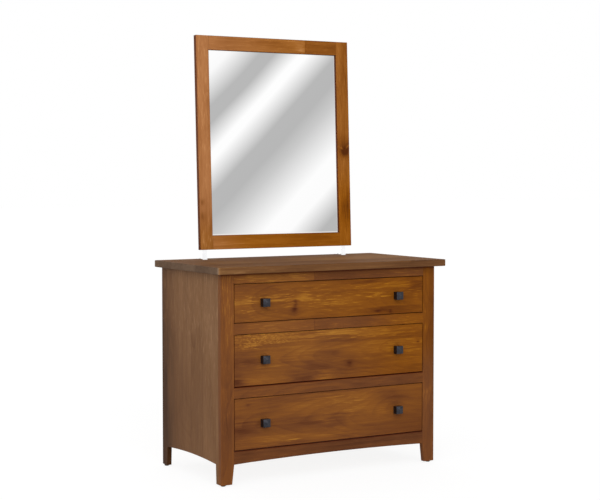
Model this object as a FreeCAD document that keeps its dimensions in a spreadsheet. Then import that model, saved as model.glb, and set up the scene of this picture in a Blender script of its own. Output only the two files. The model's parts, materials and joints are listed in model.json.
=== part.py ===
import FreeCAD, Part
import math
import operator
import os
import types
import Sketcher

# A three-drawer dresser in solid wood with its matching mirror.
# Millimetres, +Z up, the floor at z = 0, the front towards -Y.
# The origin lies on the floor under the middle of the top board.

SIZES = {
    # Carcass
    "carcass_wide": 1020,
    "carcass_deep": 526,
    "carcass_high": 836,
    "side_thick": 20,
    "stile_wide": 58,
    "stile_thick": 22,
    "top_rail_high": 40,
    "divider_high": 44,
    "bottom_rail_high": 52,
    "rail_arch_rise": 8,
    # Heights of the three drawer openings
    "top_opening_high": 156,
    "middle_opening_high": 208,
    "bottom_opening_high": 208,
    # Feet and glides
    "front_foot_taper": 9,
    "side_foot_wide": 46,
    "side_foot_taper": 4,
    "side_arch_rise": 9,
    "glide_high": 6,
    "glide_radius": 10,
    "glide_bevel": 2,
    "glide_inset": 18,
    # Top board
    "top_thick": 28,
    "top_side_over": 31,
    "top_front_over": 40,
    "top_back_over": 9,
    "top_corner_radius": 7,
    "top_edge_ease": 3,
    # Mortise and tenon joints of the face frame
    "tenon_long": 24,
    "tenon_thick": 8,
    "tenon_shoulder": 6,
    "mortise_slack": 1,
    # Back, cleats and blocks
    "back_thick": 6,
    "back_rabbet_deep": 10,
    "back_rail_high": 60,
    "back_rail_thick": 20,
    "cleat_size": 20,
    "batten_high": 50,
    "block_leg": 44,
    # Drawer fronts
    "drawer_gap": 2.5,
    "front_thick": 20,
    "front_edge_radius": 2,
    # Drawer boxes
    "box_side_thick": 12,
    "box_back_thick": 12,
    "box_top_drop": 22,
    "box_low_rise": 12,
    "box_bottom_thick": 6,
    "box_groove_deep": 5,
    "box_groove_rise": 10,
    "panel_slack": 0.5,
    "tongue_deep": 8,
    "tongue_neck": 6,
    "tongue_flare": 2,
    "pin_narrow_share": 0.16,
    "pin_flare": 2,
    "top_pin_count": 3,
    "middle_pin_count": 4,
    "bottom_pin_count": 4,
    # Telescopic slides, as long as the drawer boxes
    "slide_long": 450,
    "slide_high": 45,
    "slide_thick": 12.7,
    "slide_steel": 1.2,
    "slide_lip": 3.7,
    "slide_fixed_deep": 9.5,
    "slide_running": 0.3,
    # Knobs and their bolts
    "knob_end_inset": 131.5,
    "knob_wide": 32,
    "knob_back_wide": 31,
    "knob_tip_wide": 3,
    "knob_flange_radius": 9,
    "knob_flange_thick": 1,
    "knob_flare_long": 17,
    "knob_rim_thick": 7,
    "knob_pyramid_high": 6,
    "bolt_radius": 2,
    "bolt_grip": 12,
    "bolt_head_radius": 4.5,
    "bolt_head_thick": 2.5,
    "bolt_clearance": 0.25,
    "thread_clearance": 0.05,
    # Mirror, which leans back on its brackets
    "mirror_wide": 748,
    "mirror_high": 897,
    "mirror_frame_wide": 60,
    "mirror_frame_thick": 20,
    "mirror_lean_angle": 2.4,
    "mirror_lift": 42,
    "mirror_set_in": 98,
    "mirror_bevel": 3,
    "mirror_rabbet_wide": 8,
    "mirror_rabbet_deep": 10,
    "mirror_tenon_long": 30,
    "mirror_tenon_thick": 5,
    "mirror_tenon_in": 4,
    "mirror_tenon_shoulder": 8,
    "glass_thick": 4,
    "glass_slack": 1,
    "backing_thick": 4,
    # Mirror brackets
    "bracket_wide": 22,
    "bracket_thick": 3,
    "bracket_foot_long": 62,
    "bracket_reach": 118,
    "bracket_hole_low": 72,
    "bracket_hole_pitch": 32,
    "bracket_foot_hole_in": 18,
    "bracket_foot_hole_pitch": 30,
    "bracket_hole_radius": 2.25,
    # One overrun for every cut that leaves a piece
    "cut_overrun": 5,
}

doc = FreeCAD.newDocument("dresser")
sheet = doc.addObject("Spreadsheet::Sheet", "sizes")
for row, (alias, number) in enumerate(SIZES.items(), start=1):
    sheet.set("A%d" % row, alias)
    sheet.set("B%d" % row, str(number))
    sheet.setAlias("B%d" % row, alias)
doc.recompute()


class Length:
    """A value worked out from the sheet, with the expression that binds it there."""

    def __init__(self, value, text):
        self.value = value
        self.text = text

    def __add__(self, other):
        return combine(self, "+", other)

    def __radd__(self, other):
        return combine(other, "+", self)

    def __sub__(self, other):
        return combine(self, "-", other)

    def __rsub__(self, other):
        return combine(other, "-", self)

    def __mul__(self, other):
        return combine(self, "*", other)

    def __rmul__(self, other):
        return combine(other, "*", self)

    def __truediv__(self, other):
        return combine(self, "/", other)

    def __neg__(self):
        return combine(0, "-", self)


SIGNS = {"+": operator.add, "-": operator.sub, "*": operator.mul, "/": operator.truediv}


def as_length(item):
    """Takes a plain number as a length too."""
    if isinstance(item, Length):
        return item
    return Length(float(item), repr(item))


def combine(first, sign, second):
    """Works out one step of a sum and writes the same step as an expression."""
    first, second = as_length(first), as_length(second)
    value = SIGNS[sign](first.value, second.value)
    return Length(value, "(%s %s %s)" % (first.text, sign, second.text))


def turned(name, angle):
    """The sine, cosine or tangent of an angle that the sheet holds in degrees."""
    value = getattr(math, name)(math.radians(angle.value))
    return Length(value, "%s(%s * 1 deg)" % (name, angle.text))


s = types.SimpleNamespace()
for alias in SIZES:
    setattr(s, alias, Length(float(sheet.get(alias)), "sizes." + alias))

# Main places, all worked out from the sizes above
top_deep = s.carcass_deep + s.top_front_over + s.top_back_over
front_y = s.top_front_over - top_deep / 2
half_wide = s.carcass_wide / 2
opening_half = half_wide - s.stile_wide
side_inner = half_wide - s.side_thick
surface_z = s.carcass_high + s.top_thick
top_opening_z = s.carcass_high - s.top_rail_high - s.top_opening_high
middle_opening_z = top_opening_z - s.divider_high - s.middle_opening_high
bottom_opening_z = middle_opening_z - s.divider_high - s.bottom_opening_high
foot_z = bottom_opening_z - s.bottom_rail_high
back_face = s.carcass_deep - s.back_thick
rail_front = back_face - s.back_rail_thick
back_low = foot_z + s.side_arch_rise
box_half = opening_half - s.slide_thick
box_inner = box_half - s.box_side_thick
box_end = s.front_thick + s.slide_long
front_half = opening_half - s.drawer_gap
knob_x = front_half - s.knob_end_inset
SIDES = (("left", -1), ("right", 1))
nodes = []


def new_body(name):
    """A single piece, which stays at the origin until it is placed."""
    body = doc.addObject("PartDesign::Body", name)
    body.Label = name
    return body


def place(item, x, y, z):
    """Binds the place of a piece to the sheet."""
    item.setExpression("Placement.Base.x", as_length(x).text)
    item.setExpression("Placement.Base.y", as_length(y).text)
    item.setExpression("Placement.Base.z", as_length(z).text)


def keep(item):
    """Puts a finished piece on the list of those that are written out."""
    nodes.append(item)
    return item


def group(name, pieces):
    """Like pieces that share one node, as separate solids."""
    compound = doc.addObject("Part::Compound", name)
    compound.Label = name
    compound.Links = pieces
    return keep(compound)


def new_sketch(body, plane, start):
    """A sketch on one of the body's own origin planes, moved along the positive axis."""
    sketch = body.newObject("Sketcher::SketchObject", body.Label + "_sketch")
    role = plane + "_Plane"
    support = [item for item in body.Origin.OriginFeatures if item.Role == role][0]
    sketch.AttachmentSupport = [(support, "")]
    sketch.MapMode = "FlatFace"
    offset = -as_length(start) if plane == "XZ" else as_length(start)
    sketch.setExpression("AttachmentOffset.Base.z", offset.text)
    return sketch


def bind(sketch, kind, geometry, point, length):
    """One dimension of a sketch, bound to the sheet."""
    length = as_length(length)
    if kind == "Radius":
        index = sketch.addConstraint(Sketcher.Constraint(kind, geometry, length.value))
    else:
        index = sketch.addConstraint(Sketcher.Constraint(kind, geometry, point, length.value))
    sketch.setExpression("Constraints[%d]" % index, length.text)


def arc_through(start, end, radius, bulge):
    """The arc of the given radius from start to end that bulges to the left (1) or right (-1)."""
    chord = end - start
    half = chord.Length / 2
    rise = radius - math.sqrt(max(radius * radius - half * half, 0))
    left = FreeCAD.Vector(-chord.y, chord.x, 0).normalize()
    middle = start + chord * 0.5 + left * (rise * bulge)
    return Part.Arc(start, middle, end)


def draw(sketch, points, arcs=None):
    """A closed outline. arcs gives (radius, bulge) for the edge that starts at a point."""
    arcs = arcs or {}
    corners = [(as_length(x), as_length(y)) for x, y in points]
    vectors = [FreeCAD.Vector(x.value, y.value, 0) for x, y in corners]
    first = sketch.GeometryCount
    ends = []
    for index, start in enumerate(vectors):
        end = vectors[(index + 1) % len(vectors)]
        if index in arcs:
            radius, bulge = arcs[index]
            edge = sketch.addGeometry(arc_through(start, end, radius.value, bulge))
            flipped = (sketch.getPoint(edge, 1) - start).Length > (sketch.getPoint(edge, 2) - start).Length
            ends.append((2, 1) if flipped else (1, 2))
        else:
            sketch.addGeometry(Part.LineSegment(start, end))
            ends.append((1, 2))
    for index in range(len(vectors)):
        following = (index + 1) % len(vectors)
        sketch.addConstraint(
            Sketcher.Constraint(
                "Coincident", first + index, ends[index][1], first + following, ends[following][0]
            )
        )
    for index, (x, y) in enumerate(corners):
        bind(sketch, "DistanceX", first + index, ends[index][0], x)
        bind(sketch, "DistanceY", first + index, ends[index][0], y)
    for index, (radius, bulge) in arcs.items():
        bind(sketch, "Radius", first + index, 0, radius)


def draw_circle(sketch, x, y, radius):
    """A circle about a bound centre."""
    centre = FreeCAD.Vector(as_length(x).value, as_length(y).value, 0)
    circle = sketch.addGeometry(Part.Circle(centre, FreeCAD.Vector(0, 0, 1), radius.value))
    bind(sketch, "DistanceX", circle, 3, x)
    bind(sketch, "DistanceY", circle, 3, y)
    bind(sketch, "Radius", circle, 0, radius)


def extrude(body, kind, sketch, plane, depth):
    """A pad or pocket of a sketch, always towards the positive axis."""
    feature = body.newObject("PartDesign::" + kind, body.Label + "_" + kind.lower())
    feature.Profile = sketch
    feature.setExpression("Length", as_length(depth).text)
    feature.Reversed = (plane == "XZ") == (kind == "Pad")
    body.Tip = feature
    return feature


def add(body, plane, loops, start, depth, arcs=None):
    """Adds the material inside one or more outlines."""
    sketch = new_sketch(body, plane, start)
    for points in loops:
        draw(sketch, points, arcs)
    return extrude(body, "Pad", sketch, plane, depth)


def cut(body, plane, loops, start, depth, arcs=None):
    """Takes away the material inside one or more outlines."""
    sketch = new_sketch(body, plane, start)
    for points in loops:
        draw(sketch, points, arcs)
    return extrude(body, "Pocket", sketch, plane, depth)


def add_disc(body, plane, centre, radius, start, depth):
    """Adds a round boss."""
    sketch = new_sketch(body, plane, start)
    draw_circle(sketch, centre[0], centre[1], radius)
    return extrude(body, "Pad", sketch, plane, depth)


def drill(body, plane, centres, radius, start, depth):
    """Drills round holes."""
    sketch = new_sketch(body, plane, start)
    for x, y in centres:
        draw_circle(sketch, x, y, radius)
    return extrude(body, "Pocket", sketch, plane, depth)


def rectangle(x_low, y_low, x_high, y_high):
    """The corners of a rectangle."""
    return [(x_low, y_low), (x_high, y_low), (x_high, y_high), (x_low, y_high)]


def block(name, x_low, y_low, z_low, x_high, y_high, z_high):
    """A plain board between two corners."""
    body = new_body(name)
    add(body, "XY", [rectangle(x_low, y_low, x_high, y_high)], z_low, z_high - z_low)
    return body


def arch_radius(half_span, rise):
    """The radius of an arch from half its span and its rise."""
    return (half_span * half_span + rise * rise) / (2 * rise)


def ease_edges(body, kind, size_name, wanted, size):
    """Rounds or chamfers the edges of a body that pass a test."""
    doc.recompute()
    base = body.Tip
    names = []
    for index, edge in enumerate(base.Shape.Edges, start=1):
        if wanted(edge):
            names.append("Edge%d" % index)
    eased = body.newObject("PartDesign::" + kind, body.Label + "_" + kind.lower())
    eased.Base = (base, names)
    eased.setExpression(size_name, size.text)
    body.Tip = eased


# Top board: a solid slab with rounded corners and eased edges
def make_top_board():
    body = new_body("top_board")
    x, y, r = half_wide + s.top_side_over, top_deep / 2, s.top_corner_radius
    outline = [
        (r - x, -y), (x - r, -y), (x, r - y), (x, y - r),
        (x - r, y), (r - x, y), (-x, y - r), (-x, r - y),
    ]
    corners = {1: (r, -1), 3: (r, -1), 5: (r, -1), 7: (r, -1)}
    add(body, "XY", [outline], s.carcass_high, s.top_thick, corners)
    ease_edges(body, "Chamfer", "Size", lambda edge: abs(edge.tangentAt(edge.FirstParameter).z) < 0.5,
               s.top_edge_ease)
    keep(body)


# Side panels: glued boards, cut to a shallow arch between two feet, rabbeted for the back
def make_side_panel(side, sign):
    body = new_body("side_panel_" + side)
    place(body, 0, front_y, 0)
    near, far = s.side_foot_wide, s.carcass_deep - s.side_foot_wide
    outline = [
        (s.stile_thick, s.glide_high), (near - s.side_foot_taper, s.glide_high), (near, foot_z),
        (far, foot_z), (far + s.side_foot_taper, s.glide_high), (s.carcass_deep, s.glide_high),
        (s.carcass_deep, s.carcass_high), (s.stile_thick, s.carcass_high),
    ]
    arch = {2: (arch_radius((far - near) / 2, s.side_arch_rise), 1)}
    outer = -half_wide if sign < 0 else side_inner
    add(body, "YZ", [outline], outer, s.side_thick, arch)
    rabbet = rectangle(back_face, back_low, s.carcass_deep + s.cut_overrun, s.carcass_high + s.cut_overrun)
    start = -side_inner - s.back_rabbet_deep if sign < 0 else side_inner
    cut(body, "YZ", [rabbet], start, s.back_rabbet_deep)
    keep(body)


RAILS = (
    ("top_rail", s.carcass_high - s.top_rail_high, s.carcass_high),
    ("upper_divider_rail", top_opening_z - s.divider_high, top_opening_z),
    ("lower_divider_rail", middle_opening_z - s.divider_high, middle_opening_z),
    ("bottom_rail", foot_z, bottom_opening_z),
)


# Stiles: the uprights of the face frame, whose lower ends are the front feet
def make_stile(side, sign):
    body = new_body("stile_" + side)
    place(body, 0, front_y, 0)
    outer, inner = sign * half_wide, sign * opening_half
    outline = [
        (outer, s.glide_high), (inner + sign * s.front_foot_taper, s.glide_high), (inner, foot_z),
        (inner, s.carcass_high), (outer, s.carcass_high),
    ]
    add(body, "XZ", [outline], 0, s.stile_thick)
    deep = inner + sign * (s.tenon_long + s.mortise_slack)
    mortises = []
    for name, low, high in RAILS:
        mortises.append(rectangle(inner, low + s.tenon_shoulder, deep, high - s.tenon_shoulder))
    cut(body, "XZ", mortises, (s.stile_thick - s.tenon_thick) / 2, s.tenon_thick)
    keep(body)


# Rails: tenoned between the stiles, the bottom one cut to a shallow arch
def make_rail(name, low, high):
    body = new_body(name)
    place(body, 0, front_y, 0)
    outline = rectangle(-opening_half, low, opening_half, high)
    arch = {}
    if name == "bottom_rail":
        arch = {0: (arch_radius(opening_half, s.rail_arch_rise), 1)}
    add(body, "XZ", [outline], 0, s.stile_thick, arch)
    tenons = []
    for side, sign in SIDES:
        end = sign * (opening_half + s.tenon_long)
        tenons.append(rectangle(sign * opening_half, low + s.tenon_shoulder, end, high - s.tenon_shoulder))
    add(body, "XZ", tenons, (s.stile_thick - s.tenon_thick) / 2, s.tenon_thick)
    keep(body)


# Inside the carcass: back, back rails, cleats, slide battens and corner blocks
def make_inside():
    back_half = side_inner + s.back_rabbet_deep - s.panel_slack
    pieces = [
        block("back_panel", -back_half, back_face, back_low, back_half, s.carcass_deep, s.carcass_high),
        block("back_rail_upper", -side_inner, rail_front, s.carcass_high - s.back_rail_high,
              side_inner, back_face, s.carcass_high),
        block("back_rail_lower", -side_inner, rail_front, back_low,
              side_inner, back_face, back_low + s.back_rail_high),
    ]
    for side, sign in SIDES:
        pieces.append(
            block("top_cleat_" + side, sign * side_inner, s.stile_thick, s.carcass_high - s.cleat_size,
                  sign * (side_inner - s.cleat_size), rail_front, s.carcass_high)
        )
    for piece in pieces:
        place(piece, 0, front_y, 0)
        keep(piece)
    for side, sign in SIDES:
        battens = []
        for drawer in DRAWERS:
            middle = slide_middle(drawer)
            batten = block("slide_batten_%s_%s" % (drawer.name, side), sign * opening_half, s.stile_thick,
                           middle - s.batten_high / 2, sign * side_inner, rail_front,
                           middle + s.batten_high / 2)
            place(batten, 0, front_y, 0)
            battens.append(batten)
        group("slide_battens_" + side, battens)
    blocks = []
    for side, sign in SIDES:
        leg = sign * (side_inner - s.block_leg)
        for where, wall, out in (("front", s.stile_thick, 1), ("back", rail_front, -1)):
            corner = new_body("corner_block_%s_%s" % (where, side))
            triangle = [(sign * side_inner, wall), (leg, wall), (sign * side_inner, wall + out * s.block_leg)]
            add(corner, "XY", [triangle], back_low, bottom_opening_z - back_low)
            place(corner, 0, front_y, 0)
            blocks.append(corner)
    group("corner_blocks", blocks)


# Glides: round pads with a bevelled rim under the four feet
def make_glides():
    glides = []
    for side, sign in SIDES:
        corners = (
            ("front", half_wide - s.glide_inset, s.glide_inset),
            ("back", half_wide - s.glide_radius, s.carcass_deep - s.glide_inset),
        )
        for where, x, y in corners:
            glide = new_body("glide_%s_%s" % (where, side))
            sketch = new_sketch(glide, "XZ", 0)
            r, bevel = s.glide_radius, s.glide_bevel
            draw(sketch, [(0, 0), (r - bevel, 0), (r, bevel), (r, s.glide_high), (0, s.glide_high)])
            turn = glide.newObject("PartDesign::Revolution", glide.Label + "_turn")
            turn.Profile = sketch
            turn.ReferenceAxis = (sketch, ["V_Axis"])
            turn.Angle = 360
            glide.Tip = turn
            place(glide, sign * x, front_y + y, 0)
            glides.append(glide)
    group("glides", glides)


# Drawers, each with its opening's low edge and height and its number of dovetail pins
def drawer_sizes(name, opening_z, opening_high, pins):
    drawer = types.SimpleNamespace(name=name, pins=pins)
    drawer.front_low = opening_z + s.drawer_gap
    drawer.front_top = opening_z + opening_high - s.drawer_gap
    drawer.side_low = drawer.front_low + s.box_low_rise
    drawer.side_top = drawer.front_top - s.box_top_drop
    drawer.bottom_low = drawer.side_low + s.box_groove_rise
    drawer.bottom_top = drawer.bottom_low + s.box_bottom_thick
    drawer.knob_z = (drawer.front_low + drawer.front_top) / 2
    return drawer


DRAWERS = (
    drawer_sizes("top", top_opening_z, s.top_opening_high, s.top_pin_count),
    drawer_sizes("middle", middle_opening_z, s.middle_opening_high, s.middle_pin_count),
    drawer_sizes("bottom", bottom_opening_z, s.bottom_opening_high, s.bottom_pin_count),
)


def slide_middle(drawer):
    """The height of a drawer's slides, half way up its box."""
    return (drawer.side_low + drawer.side_top) / 2


def tongue(sign, extra):
    """The sliding dovetail between a drawer side and its front, seen from above, at one slope to any depth."""
    x = sign * (box_half + box_inner) / 2
    neck = s.tongue_neck / 2
    wide = neck + s.tongue_flare * (s.tongue_deep + extra) / s.tongue_deep
    deep = s.front_thick - s.tongue_deep - extra
    return [(x - neck, s.front_thick), (x - wide, deep), (x + wide, deep), (x + neck, s.front_thick)]


def pin_outlines(drawer):
    """The dovetail pins of a drawer's back, seen from its side, with a half pin at each edge."""
    low, high = drawer.bottom_top, drawer.side_top
    pitch = (high - low) / drawer.pins
    near, far = box_end - s.box_back_thick, box_end
    narrow = pitch * s.pin_narrow_share
    outlines = []
    for index in range(int(drawer.pins.value) + 1):
        middle = low + index * pitch
        above, above_wide = middle + narrow, middle + narrow + s.pin_flare
        below, below_wide = middle - narrow, middle - narrow - s.pin_flare
        if index == 0:
            below, below_wide = low, low
        if index == int(drawer.pins.value):
            above, above_wide = high, high
        outlines.append([(near, below_wide), (far, below), (far, above), (near, above_wide)])
    return outlines


def make_drawer_front(drawer):
    body = new_body(drawer.name + "_drawer_front")
    place(body, 0, front_y, 0)
    face = rectangle(-front_half, drawer.front_low, front_half, drawer.front_top)
    add(body, "XZ", [face], 0, s.front_thick)
    ease_edges(body, "Fillet", "Radius", lambda edge: edge.CenterOfMass.y < s.front_edge_radius.value / 2,
               s.front_edge_radius)
    sockets = [tongue(sign, s.panel_slack) for side, sign in SIDES]
    cut(body, "XY", sockets, drawer.front_low, drawer.side_top - drawer.front_low)
    groove_half = box_inner + s.box_groove_deep
    groove = rectangle(-groove_half, drawer.bottom_low, groove_half, drawer.bottom_top)
    cut(body, "XZ", [groove], s.front_thick - s.box_groove_deep, s.box_groove_deep)
    holes = [(sign * knob_x, drawer.knob_z) for side, sign in SIDES]
    drill(body, "XZ", holes, s.bolt_radius + s.bolt_clearance, 0, s.front_thick)
    keep(body)


def make_drawer_side(drawer, side, sign):
    body = new_body("%s_drawer_side_%s" % (drawer.name, side))
    place(body, 0, front_y, 0)
    outer = -box_half if sign < 0 else box_inner
    board = rectangle(s.front_thick, drawer.side_low, box_end, drawer.side_top)
    add(body, "YZ", [board], outer, s.box_side_thick)
    add(body, "XY", [tongue(sign, 0)], drawer.side_low, drawer.side_top - drawer.side_low)
    cut(body, "YZ", pin_outlines(drawer), outer, s.box_side_thick)
    groove = rectangle(sign * box_inner, drawer.bottom_low,
                       sign * (box_inner + s.box_groove_deep), drawer.bottom_top)
    start = s.front_thick - s.tongue_deep
    cut(body, "XZ", [groove], start, box_end - start)
    keep(body)


def make_drawer_back(drawer):
    body = new_body(drawer.name + "_drawer_back")
    place(body, 0, front_y, 0)
    board = rectangle(-box_inner, box_end - s.box_back_thick, box_inner, box_end)
    add(body, "XY", [board], drawer.bottom_top, drawer.side_top - drawer.bottom_top)
    for side, sign in SIDES:
        start = -box_half if sign < 0 else box_inner
        add(body, "YZ", pin_outlines(drawer), start, s.box_side_thick)
    keep(body)


def make_drawer_bottom(drawer):
    half = box_inner + s.box_groove_deep - s.panel_slack
    near = s.front_thick - s.box_groove_deep + s.panel_slack
    panel = block(drawer.name + "_drawer_bottom", -half, near, drawer.bottom_low,
                  half, box_end, drawer.bottom_top)
    place(panel, 0, front_y, 0)
    keep(panel)


# Knobs: a round foot under a square block, which widens to a rim with a low pyramid face
def make_knob(drawer, side, sign):
    body = new_body("%s_drawer_knob_%s" % (drawer.name, side))
    place(body, sign * knob_x, front_y, drawer.knob_z)
    add_disc(body, "XZ", (0, 0), s.knob_flange_radius, -s.knob_flange_thick, s.knob_flange_thick)
    block_back = s.knob_flange_thick
    rim_back = block_back + s.knob_flare_long
    rim_front = rim_back + s.knob_rim_thick
    tip = rim_front + s.knob_pyramid_high
    back, wide, point = s.knob_back_wide / 2, s.knob_wide / 2, s.knob_tip_wide / 2
    edge = [(-block_back, back), (-rim_back, wide), (-rim_front, wide), (-tip, point)]
    add(body, "YZ", [edge + [(out, -half) for out, half in reversed(edge)]], -wide, 2 * wide)
    outside = wide + s.cut_overrun
    waste = []
    for hand in (-1, 1):
        corners = [(hand * half, out) for out, half in edge]
        waste.append(corners[:2] + [(hand * outside, -rim_back), (hand * outside, -block_back)])
        waste.append(corners[2:] + [(hand * outside, -tip), (hand * outside, -rim_front)])
    cut(body, "XY", waste, -wide, 2 * wide)
    drill(body, "XZ", [(0, 0)], s.bolt_radius + s.thread_clearance, -s.bolt_grip, s.bolt_grip)
    keep(body)


def make_knob_bolts(drawer):
    bolts = []
    for side, sign in SIDES:
        bolt = new_body("%s_drawer_bolt_%s" % (drawer.name, side))
        add_disc(bolt, "XZ", (0, 0), s.bolt_radius, -s.bolt_grip, s.bolt_grip + s.front_thick)
        add_disc(bolt, "XZ", (0, 0), s.bolt_head_radius, s.front_thick, s.bolt_head_thick)
        place(bolt, sign * knob_x, front_y, drawer.knob_z)
        bolts.append(bolt)
    group(drawer.name + "_drawer_knob_bolts", bolts)


# Telescopic slides: three rolled channels, one inside the other, on each side of a drawer
def lipped_channel(near, far, half, lip, back_first):
    """A channel between two depths. back_first puts its web at the near depth, with lips at the far one."""
    steel = s.slide_steel
    inner = near + steel
    edge = far - steel
    lower = [(near, -half), (far, -half), (far, lip - half), (edge, lip - half), (edge, steel - half),
             (inner, steel - half)]
    if not back_first:
        lower = [(far, -half), (near, -half), (near, steel - half), (edge, steel - half)]
    upper = [(depth, -height) for depth, height in reversed(lower)]
    return lower + upper


def make_slides(drawer):
    gap, lip = s.slide_running, s.slide_lip
    fixed_half = s.slide_high / 2
    middle_half = fixed_half - lip - gap
    moving_half = middle_half - lip - gap
    middle_near = s.slide_steel + gap
    middle_far = s.slide_thick - s.slide_steel - gap
    moving_near = middle_near + s.slide_steel + gap
    members = (
        ("fixed", lipped_channel(as_length(0), s.slide_fixed_deep, fixed_half, lip, True)),
        ("middle", lipped_channel(middle_near, middle_far, middle_half, lip, True)),
        ("moving", lipped_channel(moving_near, s.slide_thick, moving_half, lip, False)),
    )
    for member, section in members:
        pair = []
        for side, sign in SIDES:
            channel = new_body("%s_slide_%s_%s" % (drawer.name, member, side))
            outline = [(sign * (opening_half - depth), height) for depth, height in section]
            add(channel, "XZ", [outline], s.stile_thick, s.slide_long)
            place(channel, 0, front_y, slide_middle(drawer))
            pair.append(channel)
        group("%s_slides_%s" % (drawer.name, member), pair)


# Mirror: built upright in its own frame, from its lower front edge, then leaned back
mirror_y = top_deep / 2 - s.mirror_set_in
mirror_z = surface_z + s.mirror_lift
mirror_half = s.mirror_wide / 2
glass_half = mirror_half - s.mirror_frame_wide
glass_low = s.mirror_frame_wide
glass_top = s.mirror_high - s.mirror_frame_wide
bracket_x = mirror_half - s.mirror_frame_wide / 2


def lean(item, x=0, y=0, z=0):
    """Leans a mirror piece back about the mirror's lower front edge."""
    slope, rise = turned("sin", s.mirror_lean_angle), turned("cos", s.mirror_lean_angle)
    y, z = as_length(y), as_length(z)
    item.Placement = FreeCAD.Placement(FreeCAD.Vector(), FreeCAD.Rotation(FreeCAD.Vector(-1, 0, 0), 1))
    item.setExpression("Placement.Rotation.Angle", s.mirror_lean_angle.text)
    place(item, x, mirror_y + y * rise + z * slope, mirror_z - y * slope + z * rise)


def make_mirror_stile(side, sign):
    body = new_body("mirror_stile_" + side)
    outer, inner = sign * mirror_half, sign * glass_half
    add(body, "XZ", [rectangle(outer, 0, inner, s.mirror_high)], 0, s.mirror_frame_thick)
    deep = inner + sign * (s.mirror_tenon_long + s.mortise_slack)
    mortises = []
    for low in (as_length(0), glass_top):
        high = low + s.mirror_frame_wide - s.mirror_tenon_shoulder
        mortises.append(rectangle(inner, low + s.mirror_tenon_shoulder, deep, high))
    cut(body, "XZ", mortises, s.mirror_tenon_in, s.mirror_tenon_thick)
    rabbet = rectangle(inner, glass_low - s.mirror_rabbet_wide,
                       inner + sign * s.mirror_rabbet_wide, glass_top + s.mirror_rabbet_wide)
    cut(body, "XZ", [rabbet], s.mirror_frame_thick - s.mirror_rabbet_deep, s.mirror_rabbet_deep)
    bevel = [(inner, 0), (inner + sign * s.mirror_bevel, 0), (inner, s.mirror_bevel)]
    cut(body, "XY", [bevel], glass_low, glass_top - glass_low)
    lean(body)
    keep(body)


def make_mirror_rail(name, low, inward):
    body = new_body(name)
    high = low + s.mirror_frame_wide
    edge = high if inward > 0 else low
    add(body, "XZ", [rectangle(-glass_half, low, glass_half, high)], 0, s.mirror_frame_thick)
    tenons = []
    for side, sign in SIDES:
        end = sign * (glass_half + s.mirror_tenon_long)
        tenons.append(rectangle(sign * glass_half, low + s.mirror_tenon_shoulder,
                                end, high - s.mirror_tenon_shoulder))
    add(body, "XZ", tenons, s.mirror_tenon_in, s.mirror_tenon_thick)
    rabbet = rectangle(-glass_half, edge - inward * s.mirror_rabbet_wide, glass_half, edge)
    cut(body, "XZ", [rabbet], s.mirror_frame_thick - s.mirror_rabbet_deep, s.mirror_rabbet_deep)
    bevel = [(0, edge), (0, edge - inward * s.mirror_bevel), (s.mirror_bevel, edge)]
    cut(body, "YZ", [bevel], -glass_half, 2 * glass_half)
    lean(body)
    keep(body)


def make_mirror_panels():
    grow = s.mirror_rabbet_wide - s.glass_slack
    x, low, high = glass_half + grow, glass_low - grow, glass_top + grow
    front = s.mirror_frame_thick - s.mirror_rabbet_deep
    middle = front + s.glass_thick
    for name, near, far in (("mirror_glass", front, middle), ("mirror_backing", middle, middle + s.backing_thick)):
        panel = block(name, -x, near, low, x, far, high)
        lean(panel)
        keep(panel)


# Brackets: bent steel straps from the top board up the back of the mirror's stiles
def bracket_foot_y():
    """Where the plane of the mirror's back meets the top board."""
    slope, rise = turned("sin", s.mirror_lean_angle), turned("cos", s.mirror_lean_angle)
    along = (s.mirror_frame_thick * slope - s.mirror_lift) / rise
    return mirror_y + s.mirror_frame_thick * rise + along * slope


def make_bracket(side, sign):
    slope, rise, tilt = (turned(name, s.mirror_lean_angle) for name in ("sin", "cos", "tan"))
    foot = bracket_foot_y()
    thick = s.bracket_thick
    front_top = (mirror_y + s.mirror_frame_thick * rise + s.bracket_reach * slope,
                 mirror_z - s.mirror_frame_thick * slope + s.bracket_reach * rise)
    back_top = (front_top[0] + thick * rise, front_top[1] - thick * slope)
    outline = [
        (foot, surface_z), (foot + s.bracket_foot_long, surface_z),
        (foot + s.bracket_foot_long, surface_z + thick),
        (foot + thick / rise + thick * tilt, surface_z + thick), back_top, front_top,
    ]
    strap = new_body("mirror_strap_" + side)
    x = sign * bracket_x
    add(strap, "YZ", [outline], x - s.bracket_wide / 2, s.bracket_wide)
    first = foot + s.bracket_foot_hole_in
    holes = [(x, first), (x, first + s.bracket_foot_hole_pitch)]
    drill(strap, "XY", holes, s.bracket_hole_radius, surface_z, thick)
    drills = []
    for height in (s.bracket_hole_low, s.bracket_hole_low + s.bracket_hole_pitch):
        bit = doc.addObject("Part::Cylinder", "mirror_bit_" + side)
        bit.setExpression("Radius", s.bracket_hole_radius.text)
        bit.setExpression("Height", (s.bracket_thick + 2 * s.cut_overrun).text)
        aim_back(bit, x, s.mirror_frame_thick - s.cut_overrun, height)
        drills.append(bit)
    bits = doc.addObject("Part::Compound", "mirror_bits_" + side)
    bits.Links = drills
    bracket = doc.addObject("Part::Cut", "mirror_bracket_" + side)
    bracket.Label = "mirror_bracket_" + side
    bracket.Base = strap
    bracket.Tool = bits
    keep(bracket)


QUARTER_TURN = 90


def aim_back(item, x, y, z):
    """Points an upright round piece square to the mirror's back, at a place in the mirror's frame."""
    lean(item, x, y, z)
    item.setExpression("Placement.Rotation.Angle", (s.mirror_lean_angle + QUARTER_TURN).text)


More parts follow.
